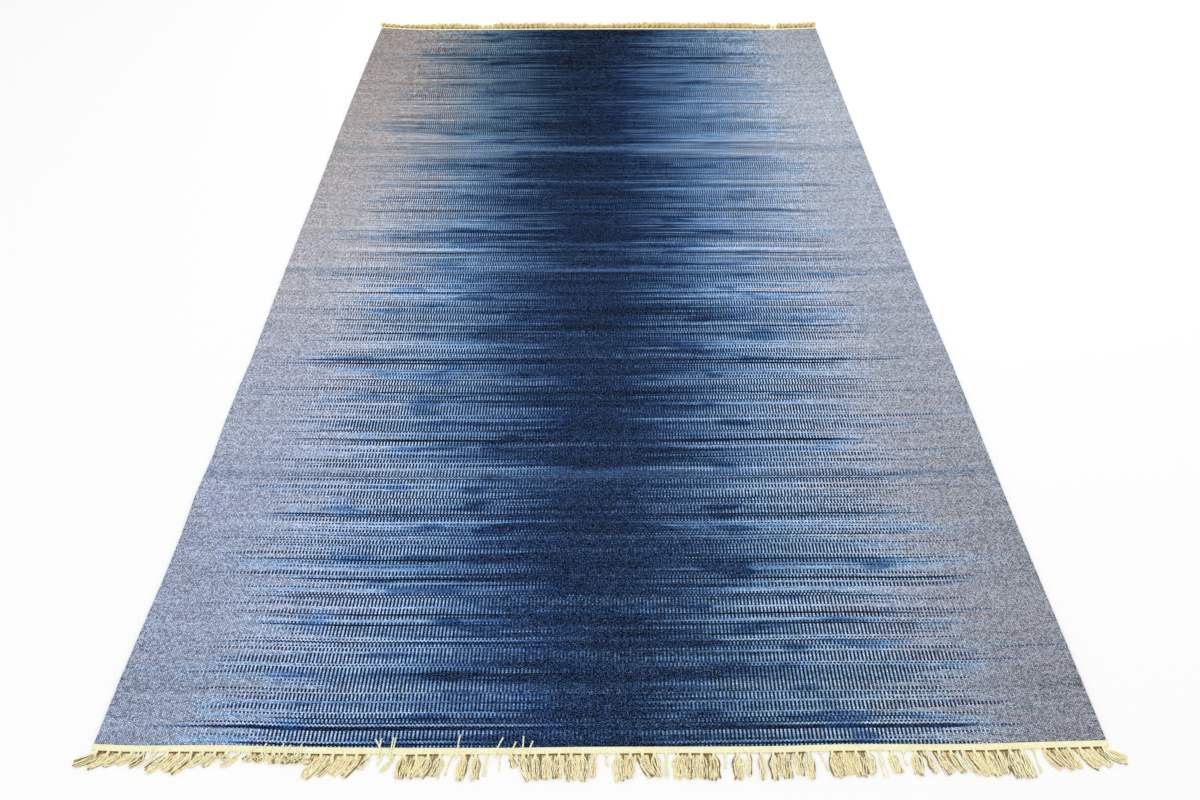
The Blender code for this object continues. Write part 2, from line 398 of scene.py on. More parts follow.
def makeField():
    # Height over a rib is thickness - relief (1 - sin(pi u)), and the loop of each row runs
    # over the top from left to right and back along the underside.
    ribs, samples = field["ribs"], field["samplesPerRib"]
    along, topShare, underShare = fieldStations()
    topCount = ribs * samples + 1
    topAcross = np.arange(topCount) / (ribs * samples)
    cordMarks = np.array(field["cordUnder"])
    underAcross = np.concatenate([
        1.0 - cordMarks / ribs, 1.0 - np.arange(1, ribs) / ribs, cordMarks[::-1] / ribs,
    ])
    across = np.concatenate([topAcross, underAcross])
    x, y = clothXY(across[None, :], along[:, None])
    u = topAcross * ribs
    crest = np.sin(math.pi * (u % 1.0)).clip(0.0) ** 0.7
    rib = np.minimum(u.astype(int), ribs - 1)
    chance = np.random.default_rng(field["seed"])
    ribHeight = chance.normal(0.0, field["ribJitter"], ribs)[rib]
    slow = sum(np.sin(waveX * x + waveY * y + phase) * size for waveX, waveY, phase, size in swells)
    slow = slow / sum(row[3] for row in swells)
    top = fieldThickness - field["relief"] * (1.0 - crest) + ribHeight
    cord = np.isin(rib, (0, ribs - 1))
    side = np.minimum(u, ribs - u)
    cordShape = np.interp(side, (0.0, 0.25, 0.5, 0.75, 1.0), (0.45, 0.9, 1.0, 0.88, 0.74))
    top = np.where(cord | (side <= 1.0), (fieldThickness + field["cordRise"]) * cordShape, top)
    topZ = top[None, :] * topShare[:, None]
    topZ += slow[:, :topCount] * field["unevenness"] * (topShare[:, None] > 0.9) * (side > 0)
    underSide = np.minimum(underAcross, 1.0 - underAcross) * ribs
    underZ = fieldThickness * np.interp(underSide, cordMarks, (0.12, 0.0))
    underZ = np.maximum(underZ[None, :], fieldThickness * underShare[:, None])
    z = np.concatenate([topZ, underZ], axis=1)
    reach = field["scallop"] * (0.35 + 0.65 * (rib % 2)) * crest
    reach = reach * (1.0 + chance.normal(0.0, field["scallopJitter"], ribs)[rib])
    for row, share in ((0, -1.0), (1, -0.6), (-1, 1.0), (-2, 0.6)):
        y[row, :topCount] += reach * share
    columns = len(across)
    points = np.stack([x, y, z], -1).reshape(-1, 3)
    faces, corners = closedFaces(len(along), columns)
    acrossRound = np.append(across, 0.0)
    # The bake map holds the top face, then the underside, with the end faces in two strips
    bakeAcross = np.concatenate([topAcross * 0.88, 0.89 + (1.0 - underAcross) * 0.1, [0.999]])
    weaveMap = np.stack([acrossRound[corners[..., 1]], along[corners[..., 0]]], -1)
    bakeMap = np.stack([bakeAcross[corners[..., 1]], 0.01 + 0.98 * along[corners[..., 0]]], -1)
    caps, capWeave, capBake = fieldCaps(columns, len(along), topCount, across)
    return makePiece(
        "wovenField", points, [faces] + caps,
        maps=[("OFBake", [bakeMap] + capBake), ("weave", [weaveMap] + capWeave)],
    )


def fieldCaps(columns, rows, topCount, across):
    # One end face for each rib, between its four steps on top and its step underneath
    ribs, samples = field["ribs"], field["samplesPerRib"]
    start = np.arange(1, ribs - 1)[:, None]
    overTop = start * samples + np.arange(samples + 1)[None, :]
    below = columns - 2 - start + np.array([[-1, 0]])
    inner = np.concatenate([overTop, below], axis=1)
    first = np.concatenate([np.arange(samples + 1), columns - 1 - np.arange(3)[::-1]])[None, :]
    last = np.concatenate([topCount - 1 - np.arange(samples + 1)[::-1], topCount + np.arange(3)])
    caps, weaveMaps, bakeMaps = [], [], []
    for row, strip in ((0, 0.0), (rows - 1, 0.992)):
        for loop in (inner, first, last[None, :]):
            flip = loop if row == 0 else loop[:, ::-1]
            caps.append(row * columns + flip)
            level = np.where(flip < topCount, 0.006, 0.002)
            share = across[flip]
            weaveMaps.append(np.stack([share, np.full(share.shape, float(row > 0))], -1))
            bakeMaps.append(np.stack([share * 0.88, strip + level], -1))
    return caps, weaveMaps, bakeMaps


# Distances are from the dark middle, in metres
dye = {
    "centre": -0.012,       # where the dark middle lies
    "seam": 0.07,           # half the width where the sides blend
    "pivot": 0.50,          # where the narrowing changes nothing
    "pivotRight": -0.06,    # added on the right
    "narrow": 1.06,         # narrowing of the whole change
    "steeper": 0.36,        # added at the far end
    "nearRight": 0.025,     # shift outward at the near right
    "farOut": 0.035,        # at the far end
    "farLeft": 0.25,        # and at the left, past the middle of the length
    "turnsAt": 0.475,       # where a pick turns from grey to blue
    "gapLeast": 0.16,       # how much further out the darker shed turns
    "gapSpread": 0.38,
    "gapNear": 0.07,        # added at the near end
    "tongue": 0.16,         # further reach of the longest dark picks
    "wander": 0.16,         # how far a row strays from its neighbours
    "loner": 0.16,          # how far a dark pick strays from its row
    "swing": 0.42,          # how far the navy swings along the cloth
    "fade": 0.12,           # the longest turn of a dark pick
    "softer": 0.14,         # added for a light pick
    "turnShare": 0.56,      # share of the whole change
    "deepFrom": 0.19,       # the rest of it runs from here
    "deepTo": 0.86,         # to here
    "turned": 0.46,         # shade just inside the turn
    "ragged": 0.26,         # unevenness of neighbouring light picks
    "inward": 0.30,         # how far in the longest light picks reach
    "row": 0.0105,          # mean height of a row of alike picks
    "rowGroup": 0.21,       # how often the darker shed changes
    "odd": 0.89,            # above this draw a pick changes side
    "deeper": 0.13,         # deeper dye of the dark dashes
    "paleGain": 5.5,        # how quickly a streak turns pale
    "paleStreak": (92, 119, 146),
    "lint": (136, 162, 204),
}

# Noise in the weft, from thin streaks to mottling. Columns: scale along each axis, detail.
weftNoise = (
    ((4.0, 150.0, 0.0), 2.0), ((3.0, 55.0, 0.0), 3.0), ((3.0, 20.0, 0.0), 3.0),
    ((6.0, 26.0, 0.0), 1.0), ((240.0, 110.0, 0.0), 2.0), ((640.0, 560.0, 0.0), 0.0),
)

# Colours of the dye, from the dark middle to the pale sides
dyeStops = (
    (0, (5, 22, 52)), (0.1, (9, 33, 76)), (0.25, (26, 60, 116)), (0.42, (55, 93, 148)),
    (0.6, (106, 144, 189)), (0.78, (152, 179, 214)), (1, (168, 181, 205)),
)
leftGrey = (
    (0, (146, 156, 178)), (0.22, (161, 170, 192)), (0.48, (176, 176, 184)), (0.7, (170, 165, 165)),
    (0.9, (158, 150, 147)),
)
rightGrey = (
    (0, (138, 140, 150)), (0.25, (156, 160, 171)), (0.5, (166, 173, 187)), (0.75, (171, 178, 190)),
    (1, (158, 162, 170)),
)
leftTint = (
    (0, (255, 255, 255)), (0.5, (255, 252, 246)), (0.75, (252, 242, 224)), (1, (248, 232, 204)),
)
rightTint = (
    (0, (255, 248, 234)), (0.25, (255, 253, 248)), (0.85, (252, 252, 248)), (1, (250, 242, 226)),
)

# Streaks across the dark middle. Columns: share of the way from the near end, how far the
# blue reaches in, or the navy out where negative, in metres.
middleStreaks = (
    (0, -0.02), (0.03, -0.01), (0.0375, 0.06), (0.045, -0.02), (0.11, -0.02), (0.129, -0.14),
    (0.14, 0.02), (0.2, 0.02), (0.208, 0.08), (0.218, 0.02), (0.275, 0.03), (0.3, 0.02),
    (0.33, 0.01), (0.3375, -0.12), (0.345, 0.01), (0.41, 0), (0.42, -0.06), (0.452, -0.03),
    (0.4583, 0.12), (0.466, -0.03), (0.495, -0.02), (0.5, 0.05), (0.506, -0.03), (0.66, -0.05),
    (0.683, 0.1), (0.7, -0.04), (0.724, -0.04), (0.729, -0.18), (0.735, -0.04), (0.86, -0.07),
    (0.9, -0.12), (1, -0.08),
)


def makeDyedWeft():
    # A row at a time, the picks of one shed turn from grey to blue further out than those of
    # the other, which draws the dashes. Both then deepen to navy towards the middle.
    material, tree, shader = startMaterial("dyedWeft", 0.95, 0.0, 0.0)
    rib, pick, shed, raised = placeGroup(
        tree, weaveCells, Ribs=float(field["ribs"]), Length=fieldLength,
    )
    across, along = mapPlace(tree, "weave")
    near, farther = 1.0 - along, along ** 2.0

    # Distance from the dark middle, stretched for each side and end
    side = (across - (0.5 + dye["centre"] / fieldWidth)) * fieldWidth
    right, outward = side.above(0.0), side.size()
    toRight = side.rise(-dye["seam"], dye["seam"])
    toLeft = 1.0 - toRight
    pivot = toRight * dye["pivotRight"] + dye["pivot"]
    fromMiddle = (outward - pivot) * (along * dye["steeper"] + dye["narrow"]) + pivot
    fromMiddle -= toRight * near * dye["nearRight"] + along * dye["farOut"]
    fromMiddle -= toLeft * near * farther * dye["farLeft"]
    dashed = fromMiddle.rise(0.08, 0.34) * (1.0 - fromMiddle.rise(0.66, 0.82))
    reaches = [(at, 0.5 + shift) for at, shift in middleStreaks]
    reach = Wire(ramp(tree, along, reaches, colours=False)) - 0.5

    # Draws for a row, for a row on its own side, and for picks, stitches and clumps, and noise
    row = (pick - shed * 0.5) * (weftFloat / dye["row"])
    alike, own = runsOf(tree, row), runsOf(tree, row + right * 151.7 + 1031.0)
    lone, each = scatter(tree, pick, shed, right), scatter(tree, pick, shed)
    grain = scatter(tree, rib, pick)
    clump = scatter(tree, (rib * 0.5).floor(), (pick * 0.34).floor())[2] - 0.5
    lump = scatter(tree, rib, (pick * 0.34).floor(), 7.0)[1] - 0.5

    thin, broad, lens, even, coarse, mottle = [
        drift(tree, objectPlace(tree), scales, detail) for scales, detail in weftNoise
    ]
    even = even.rise(0.06, 0.16)
    streak = (thin * 0.5 + broad * 0.7) * (1.0 - along * 0.75)
    speck = mottle * 3.3 + coarse * (along * 1.7 + 0.05) + clump * farther * 0.32

    # In each row the picks of one shed are dark, apart from an odd one
    first = drift(tree, row, dye["rowGroup"], 1.0).above(0.0) * 2.0 - 1.0
    outer = first * (shed * 2.0 - 1.0)
    odd = (each[1] + outer * 0.05).above(dye["odd"])
    outer *= 1.0 - odd * 2.0
    dark = outer * 0.5 + 0.5
    light = 1.0 - dark

    # turned runs from 0 where a pick is blue to 1 where it is still grey
    gap = (alike[0] * 0.6 + own[0] * 0.4) * dye["gapSpread"] + dye["gapLeast"]
    gap += near * dye["gapNear"]
    slow = drift(tree, along * fieldLength, 10.0, 3.0)
    slower = drift(tree, along * fieldLength + toRight * 0.35, 9.0, 3.0)
    swing = (slow * 0.7 + slower * 0.5) * dye["swing"] * (1.0 - along * 0.35)
    stray = (alike[1] * 0.6 + own[1] * 0.6 - 0.6) * dye["wander"] * (1.0 - along * 0.5)
    stray += (lone[0] - 0.5) * (dark * dye["loner"] + 0.05)
    tongue = dark * (own[0] * lone[0]) ** 2.0 * dye["tongue"]
    turnsAt = outer * gap * 0.5 + tongue + stray + swing * 0.4 + streak * 0.4 + dye["turnsAt"]
    turnsAt += light * (lone[1] - 0.50 - along * 0.25) * dye["ragged"] - reach * 0.3
    turnsAt -= light * (alike[2] * lone[2]) ** 2.0 * dye["inward"]
    fade = lone[2] * dye["fade"] + light * dye["softer"] + along * 0.06 + 0.03
    turned = fromMiddle.rise(turnsAt - fade, turnsAt) * outward.rise(0.0, 0.14)

    # shade runs from 0 in the navy to 1 at the pale sides
    deep = fromMiddle + reach - swing + (alike[2] - 0.5) * 0.14 + streak * 0.6
    deep = (deep - dye["deepFrom"]) / (dye["deepTo"] - dye["deepFrom"])
    deep = deep.atLeast(0.0).atMost(1.0)
    shade = turned * (deep * (1.0 - dye["turnShare"]) + dye["turnShare"])
    shade += (1.0 - turned) * deep ** 1.5 * dye["turned"]
    shade += (deep ** 0.8 - shade) * even * (0.75 - along * 0.40)
    pale = (reach - 0.03).atLeast(0.0) * dye["paleGain"]
    shade += (broad + thin * 0.6 + (alike[1] - 0.5) * 0.35) * 0.15 + pale * (1.0 - shade)
    deepest = (1.0 - shade * 2.0).atLeast(0.0)
    shows = light * (alike[1] ** 2.0 * 0.36 + 0.06) * (1.0 - along * 0.4)
    flecks = (grain[1] - 0.2) * (0.40 - along * 0.26) + (clump * 0.16 + broad * 0.45) * along
    shade += (shows + lens * 0.5 + flecks) * deepest
    shade = (shade - dashed * dark * (1.0 - turned) * dye["deeper"]).atLeast(0.0)

    # Blue by its shade, then grey at the sides, pale streaks, and lint on top
    grey, tint = [
        blend(tree, toRight, ramp(tree, along, onLeft), ramp(tree, along, onRight))
        for onLeft, onRight in ((leftGrey, rightGrey), (leftTint, rightTint))
    ]
    blue = blend(tree, 1.0, ramp(tree, shade, dyeStops), tint, "MULTIPLY")
    soft = farther * toLeft
    greyed = (shade - 0.70 + soft * 0.16) * (4.4 - soft * 1.6) * fromMiddle.rise(0.28, 0.50)
    colour = blend(tree, greyed, blue, grey)
    colour = blend(tree, pale * 1.2, colour, linear(dye["paleStreak"]))
    lint = speck.rise(0.05, 0.85) * (deepest * 0.44 + 0.06)
    colour = blend(tree, lint, colour, linear(dye["lint"]))

    # Lightness of a stitch, from its row, its pick, its own draw and its dash, then the weave's
    # relief as painted highlight on the float crowns and painted shade in the valleys between
    # floats
    tone = alike[2] * 0.16 + each[2] * 0.20 + grain[0] * 0.84 + speck + streak * 0.6 + 0.48
    tone += dashed * (0.62 - dark * 0.98) * (1.0 - dark * turned) * (along * 0.4 + 0.58)
    tone -= dashed * (farther * 0.32 + 0.15)
    tone += lump * (dashed * farther * 0.8 + along * (1.0 - deepest) * 0.25)
    tone = tone.atLeast(0.06) * (1.0 - deepest * (along * 0.16 + 0.50))
    fibreTone, fibreHeight = placeGroup(tree, fibre, Depth=1.1)
    # Painted highlight on the crowns of the floats and painted shade in the valleys between them
    tone = tone * fibreTone * (raised * 0.92 + 0.37)
    coat(tree, shader, colour, tone, raised + fibreHeight * 0.25, 0.0006, 0.8)
    return material


wovenField = makeField()
finishPiece(wovenField, makeDyedWeft(), "dyed_weft", "woven_field")
print("field:", len(wovenField.data.polygons), "faces")


# The undyed heading bands

heading = {
    "picks": 5,
    "relief": 0.0004,
    "samplesPerRib": 2,
    "woven": (1.3, 10.8),   # where the picks start and end, outward in millimetres
    "level": 3.2,           # height over the crowns, in millimetres
    "lowCrest": 0.25,       # height of a crest between two picks
    "roughness": 0.00007,
    "wander": 0.0003,       # how far the outer edge strays
    "wanderMarks": 60,
    "wanderFrom": 0.008,    # the part of the band that follows it
    "cream": (255, 252, 214),
    "shade": (250, 238, 186),
}

# The band's section beside the picks. Columns: outward distance and height in millimetres.
headingInner = ((0.2, 0.0), (0.0, 1.2), (0.3, 2.3), (0.9, 2.9))
headingOuter = ((11.2, 2.9), (11.8, 2.2), (12.0, 1.4), (11.6, 0.5), (11.0, 0.0))


def makeHeading(name, end, seed):
    # Height is thickness - relief (1 - crest across the rib times crest along the pick)
    ribs, samples = field["ribs"], heading["samplesPerRib"]
    columns = ribs * samples + 1
    across = np.arange(columns) / (columns - 1)
    inside, outside = np.array(headingInner), np.array(headingOuter)
    middle = np.linspace(*heading["woven"], heading["picks"] * 2 + 1)
    outward = np.concatenate([inside[:, 0], middle, outside[:, 0]]) * millimetre
    level = np.concatenate([inside[:, 1], np.full(len(middle), heading["level"]), outside[:, 1]])
    chance = np.random.default_rng(seed)
    x, y = np.broadcast_arrays(*beyondEnd(across[:, None], outward[None, :] + pieceGap, end))
    crest = np.where(np.arange(columns) % samples == 0, 0.0, 1.0)[:, None]
    beside = (len(inside), len(outside))
    ribbed = np.pad(np.ones(len(middle)), beside)
    odd = np.pad(np.arange(len(middle)), beside) % 2 == 1
    dip = (1.0 - crest * np.where(odd, 1.0, heading["lowCrest"])) * heading["relief"] * ribbed
    noise = chance.normal(0.0, heading["roughness"], (columns, len(outward))) * ribbed
    z = level * headingThickness / heading["level"] - dip + noise
    marks = heading["wanderMarks"]
    wander = chance.normal(0.0, heading["wander"], marks)
    wander = np.interp(across, np.linspace(0, 1, marks), wander)[:, None]
    y = y + outwards[end] * wander * (outward > heading["wanderFrom"])
    points = np.stack([x, y, z], -1).reshape(-1, 3)
    faces, corners = closedFaces(columns, len(outward))
    loop = np.arange(len(outward))
    caps = [loop[None, ::-1], (columns - 1) * len(outward) + loop[None, :]]
    if end == "far":
        faces, corners = faces[:, ::-1], corners[:, ::-1]
        caps = [cap[:, ::-1] for cap in caps]
    loopShare = np.append(outward, outward[0]) / headingWidth
    weaveMap = np.stack([across[corners[..., 0]], loopShare[corners[..., 1]]], -1)
    capMaps = [
        np.stack([np.full(len(outward), float(i)), outward / headingWidth], -1) for i in range(2)
    ]
    return makePiece(name, points, [faces] + caps, maps=[("weave", [weaveMap] + capMaps)])


def makeUndyedBand():
    material, tree, shader = startMaterial("undyedBand", 0.9, 0.1)
    rib, pick, shed, raised = placeGroup(
        tree, weaveCells, Ribs=float(field["ribs"]), Length=headingWidth,
        Float=headingWidth / heading["picks"], Sway=0.0,
    )
    stain = drift(tree, objectPlace(tree), (22.0, 60.0, 60.0), 3.0) * 1.6 + 0.25
    base = blend(tree, stain, linear(heading["cream"]), linear(heading["shade"]))
    grain = scatter(tree, rib, pick)[0] - 0.5
    fibreTone, fibreHeight = placeGroup(tree, fibre, Depth=0.35)
    # Painted shade in the valleys between floats, with a little painted highlight on their crowns
    tone = (grain * 0.10 + 0.98) * fibreTone * (raised * 0.28 + 0.80)
    coat(tree, shader, base, tone, raised + fibreHeight * 0.2, 0.0004, 0.6)
    return material


undyedBand = makeUndyedBand()
for end, seed in (("near", 31), ("far", 32)):
    band = makeHeading(f"heading{end.capitalize()}", end, seed)
    finishPiece(band, undyedBand, "undyed_heading", f"heading_{end}")
print("headings:", 2 * len(band.data.polygons), "faces")


# The fringe

fringe = {
    "bundles": 86,
    "upperYarns": 8,
    "underYarns": 8,
    "plyRadius": 0.00058,
    "twistRadius": 0.00050,
    "twistPitch": 0.0068,
    "upperRings": 18,
    "upperSides": 5,
    "underRings": 15,
    "underSides": 6,
    "underRadius": 0.00135,
    "underFlatness": 0.66,
    "neckHalfWidth": 0.0021,
    "bellyHalfWidth": 0.0102,
    "thinShare": 0.2,
    "roomShare": 0.50,
    "leanJitter": 2.5,
    "lengthJitter": 0.10,
    "highest": 0.0118,
}

# How the bundles lie, in groups from left to right. Columns: how many, how far the first of
# them leans towards the right in degrees, how far the last does, length in millimetres, how
# full they are.
lay = {
    "near": (
        (2, -62, -52, 38, 1), (1, -48, -48, 29, 1), (2, -46, -44, 26, 0.8), (1, -50, -50, 36, 0.4),
        (3, -42, -38, 38, 1), (2, -42, -40, 29, 0.9), (1, -30, -30, 13, 0.7),
        (1, -52, -52, 36, 0.5), (2, -25, -20, 13, 0.8), (4, 0, -20, 14, 0.9), (2, -36, -34, 43, 1),
        (2, -32, -30, 40, 1), (1, -34, -34, 28, 0.6), (1, -20, -20, 16, 0.2),
        (1, -36, -36, 34, 0.4), (1, -8, -8, 38, 1), (3, -20, -18, 38, 1), (1, -14, -14, 40, 0.3),
        (1, -10, -10, 40, 0.8), (1, 0, 0, 43, 0.8), (1, -3, -3, 41, 0.35), (1, 0, 0, 26, 0.2),
        (1, 30, 30, 21, 0.6), (1, 20, 20, 41, 1), (3, 6, -6, 41, 1), (2, 0, -2, 41, 1),
        (1, -4, -4, 40, 0.6), (1, 2, 2, 20, 0.2), (2, 7, -7, 41, 1), (2, 28, 16, 41, 1),
        (1, 2, 2, 38, 0.35), (4, 3, -5, 40, 1), (1, 0, 0, 26, 0.2), (1, -4, -4, 39, 1),
        (1, -4, -4, 39, 0.5), (1, -2, -2, 40, 0.5), (2, 2, -6, 40, 0.95), (2, 2, 2, 40, 0.75),
        (1, 16, 16, 31, 0.25), (4, 8, 4, 40, 1), (1, 4, 4, 40, 0.35), (1, 8, 8, 38, 0.9),
        (1, 4, 4, 26, 0.3), (1, 0, 0, 41, 1), (1, 12, 12, 40, 0.6), (2, 24, 26, 40, 0.9),
        (1, 30, 30, 40, 0.6), (5, 18, 4, 42, 1), (1, 0, 0, 38, 0.3), (2, 35, 34, 35, 0.85),
        (1, 14, 14, 33, 0.8), (2, 34, 40, 36, 0.9), (1, 58, 58, 38, 1),
    ),
    "far": (
        (4, -25, -30, 32, 1), (1, -30, -30, 24, 0.6), (5, -30, -24, 36, 1), (4, -18, 4, 43, 1),
        (2, -4, -6, 46, 1), (3, 6, -2, 40, 0.9), (3, -4, 0, 33, 0.7), (5, 0, 5, 46, 1),
        (5, 5, -20, 44, 1), (3, -15, 6, 46, 1), (5, 8, 28, 43, 1), (6, 28, 22, 36, 0.9),
        (5, 22, 26, 44, 1), (7, 26, 12, 47, 1), (6, 12, 22, 46, 1), (5, 20, 10, 48, 1),
        (5, 8, -10, 47, 1), (3, -8, 8, 38, 0.9), (1, 14, 14, 22, 0.4), (4, 20, 26, 43, 1),
        (4, 24, 16, 45, 1),
    ),
}

# A bundle's sections beyond its knot. Columns: share of its length, share of its full lean
# that it has turned, share of the full spread.
bundleSections = ((0.28, 0.55, 0.98), (0.66, 1.00, 1.00), (1.00, 1.12, 0.84))

# How loose each end's yarns are, in metres
looseness = {
    "near": {"seed": 11, "crimp": 0.0015, "lift": 0.0009, "curl": 0.0006},
    "far": {"seed": 23, "crimp": 0.0022, "lift": 0.0034, "curl": 0.0150},
}


def bundleRows(end):
    # Lean in radians, length in metres and fullness of every bundle, from left to right
    chance = random.Random(looseness[end]["seed"])
    rows = []
    for count, leanFirst, leanLast, length, fullness in lay[end]:
        for i in range(count):
            lean = leanFirst + (leanLast - leanFirst) * i / max(count - 1, 1)
            lean += chance.uniform(-fringe["leanJitter"], fringe["leanJitter"])
            reach = length * (1.0 + chance.uniform(-fringe["lengthJitter"], fringe["lengthJitter"]))
            rows.append((math.radians(lean), reach * millimetre, fullness))
    return np.array(rows).T


def layBundles(end):
    # Each bundle's root, the places of its sections, their directions across, their room to
    # the left and right, and whether the fringe is open on either side
    out, count = outwards[end], fringe["bundles"]
    share = (np.arange(count) + 0.5) / count
    lean, length, full = bundleRows(end)
    x, y = beyondEnd(share, 2 * pieceGap + headingWidth + rootWidth, end)
    place = np.stack([x, y], -1)
    roots, places, acrosses, reached = place.copy(), [], [], 0.0
    for along, turned, _ in bundleSections:
        angle = lean * turned
        way = np.stack([np.sin(angle), out * np.cos(angle)], -1)
        place = place + way * (length * (along - reached))[:, None]
        reached = along
        places.append(place)
        acrosses.append(np.stack([np.cos(angle), -out * np.sin(angle)], -1))
    places, acrosses = np.stack(places, 1), np.stack(acrosses, 1)
    spreads = np.array(bundleSections)[:, 2]
    belly = fringe["bellyHalfWidth"] * (fringe["thinShare"] + (1.0 - fringe["thinShare"]) * full)
    room = np.tile(belly[None, :, None], (2, 1, len(bundleSections)))
    step = places[1:] - places[:-1]
    for side, own in ((1, slice(None, -1)), (0, slice(1, None))):
        free = np.abs((step * acrosses[own]).sum(-1)) * fringe["roomShare"]
        room[side, own] = np.minimum(room[side, own], free)
    thin = np.pad(full < 0.55, 1, constant_values=True)
    opened = np.stack([thin[:-2] | thin[1:-1], thin[2:] | thin[1:-1]])
    return {"share": share, "root": roots, "places": places, "across": acrosses, "full": full,
            "room": room * spreads, "open": opened, "length": length, "out": out}


def throughMarks(marks, count):
    # Smooth curve through each row of marks, evenly stepped from mark to mark
    last = marks.shape[1] - 1
    at = np.linspace(0.0, last, count)
    i = np.minimum(at.astype(int), last - 1)
    t = (at - i)[None, :, None]
    before, start = marks[:, np.maximum(i - 1, 0)], marks[:, i]
    stop, after = marks[:, i + 1], marks[:, np.minimum(i + 2, last)]
    return 0.5 * (
        2 * start + (stop - before) * t + (2 * before - 5 * start + 4 * stop - after) * t ** 2
        + (3 * start - before - 3 * stop + after) * t ** 3
    )


def pathFrame(centres, level):
    # Directions across, square to the path and to level, and up, square to the path and across
    run = np.gradient(centres, axis=1)
    run /= np.linalg.norm(run, axis=-1, keepdims=True)
    across = np.cross(run, level)
    across /= np.linalg.norm(across, axis=-1, keepdims=True).clip(1e-6)
    return across, np.cross(across, run)


def sweep(centres, radii, sides, flat, level):
    # Tubes: centre + radius (cos a across + flat sin a up)
    across, up = pathFrame(centres, level)
    a = np.arange(sides) * 2 * math.pi / sides
    ring = across[:, :, None] * np.cos(a)[:, None] + up[:, :, None] * np.sin(a)[:, None] * flat
    points = centres[:, :, None] + ring * radii[:, :, None, None]
    tubes, rings = centres.shape[:2]
    faces = closedFaces(rings, sides)[0]
    start = (np.arange(tubes) * rings * sides)[:, None, None]
    walls = (start + faces[None, :, ::-1]).reshape(-1, 4)
    loop = np.arange(sides)
    caps = np.concatenate([
        start[:, 0] + loop[None, :], start[:, 0] + (rings - 1) * sides + loop[None, ::-1],
    ])
    return points.reshape(-1, 3), [walls, caps]


def fromRootOf(paths):
    # Distance along each path from its first point
    step = np.linalg.norm(np.diff(paths, axis=1), axis=-1)
    return np.pad(np.cumsum(step, 1), ((0, 0), (1, 0)))


def makeTubes(name, paths, radii, sides, marks, flat=1.0, level=(0.0, 0.0, 1.0)):
    # marks: distance from the root, lot and 1 for under yarns, each a number for the whole
    # piece, for each path or for each ring
    points, faces = sweep(paths, radii, sides, flat, level)
    marks = [
        (label, np.repeat(np.broadcast_to(value, radii.shape), sides))
        for label, value in zip(("fromRoot", "lot", "under"), marks)
    ]
    return makePiece(name, points, faces, marks=marks)


def makeTwoPly(name, centres, lot, chance, thickness=1.0):
    # Two tubes wound round each path: centre + twist (cos a across + sin a up)
    radius, twist, pitch = [
        fringe[key] * thickness for key in ("plyRadius", "twistRadius", "twistPitch")
    ]
    reach = fromRootOf(centres)
    share = reach / reach[:, -1:]
    across, up = pathFrame(centres, (0.0, 0.0, 1.0))
    phase = chance.uniform(0, 2 * math.pi, (len(centres), 1)) + reach / pitch * 2 * math.pi
    loose = 1.0 + np.clip((share - 0.82) / 0.18, 0.0, 1.0) ** 1.5
    radii = radius * (1.0 - 0.35 * np.clip((share - 0.94) / 0.06, 0.0, 1.0))
    paths = []
    for angle in (phase, phase + math.pi):
        offset = across * np.cos(angle)[..., None] + up * np.sin(angle)[..., None]
        paths.append(centres + offset * (twist * loose)[..., None])
    paths = np.concatenate(paths)
    paths[..., 2] = np.maximum(paths[..., 2], radius)
    marks = (fromRootOf(paths), np.tile(lot, 2)[:, None], 0.0)
    return makeTubes(name, paths, np.tile(radii, (2, 1)), fringe["upperSides"], marks)


def bendYarns(bundles, slot, lateral, heights, chance, rings, loose):
    # Paths through marks at the band, at the knot and at the bundle's three sections
    count, each = slot.shape
    tipSlot = np.clip(slot * 0.95 + chance.normal(0.0, 0.26, slot.shape), -1.25, 1.25)
    marks = np.zeros((count, each, 6, 3))
    for step, back in enumerate((-0.0065, -0.0035, 0.0005)):
        marks[:, :, step, 0] = bundles["root"][:, None, 0] + lateral
        marks[:, :, step, 1] = bundles["root"][:, None, 1] + bundles["out"] * back
    toLeft, toRight = bundles["room"][..., None]
    for step, used in enumerate((slot, slot * 0.7 + tipSlot * 0.3, tipSlot)):
        shift = used * (np.where(used > 0, toRight[:, step], toLeft[:, step]) - 0.0006)
        aside = bundles["across"][:, None, step] * shift[..., None]
        marks[:, :, step + 3, :2] = bundles["places"][:, None, step] + aside
    stretch = 1.0 + chance.normal(-0.06, 0.16, (count, each, 1)).clip(-0.35, 0.12)
    marks[:, :, 5, :2] = marks[:, :, 4, :2] + (marks[:, :, 5, :2] - marks[:, :, 4, :2]) * stretch
    marks[..., 2] = heights
    paths = throughMarks(marks.reshape(-1, 6, 3), rings)
    share = np.linspace(0.0, 1.0, rings)[None, :]
    free = np.clip((share - 0.35) / 0.3, 0.0, 1.0)
    short = np.repeat(1.0 + 1.6 * (bundles["length"] < 0.020), each)[:, None]
    for axis in (0, 2):
        phase = chance.uniform(0, 2 * math.pi, (len(paths), 1))
        waves = chance.uniform(1.6, 3.4, (len(paths), 1))
        size = loose["crimp"] * chance.uniform(0.3, 1.0, (len(paths), 1)) * (1.0 - axis * 0.25)
        paths[..., axis] += np.sin(share * waves * 2 * math.pi + phase) * size * free * short
    return paths


def thinned(paths, share, wanted, chance):
    # As many of each bundle's yarns as are wanted, a lot for each, and where its bundle is
    each = len(paths) // len(wanted)
    kept = (chance.random((len(wanted), each)).argsort(1) < wanted[:, None]).ravel()
    return paths[kept], chance.uniform(0.0, 1.0, kept.sum()), np.repeat(share, each)[kept]


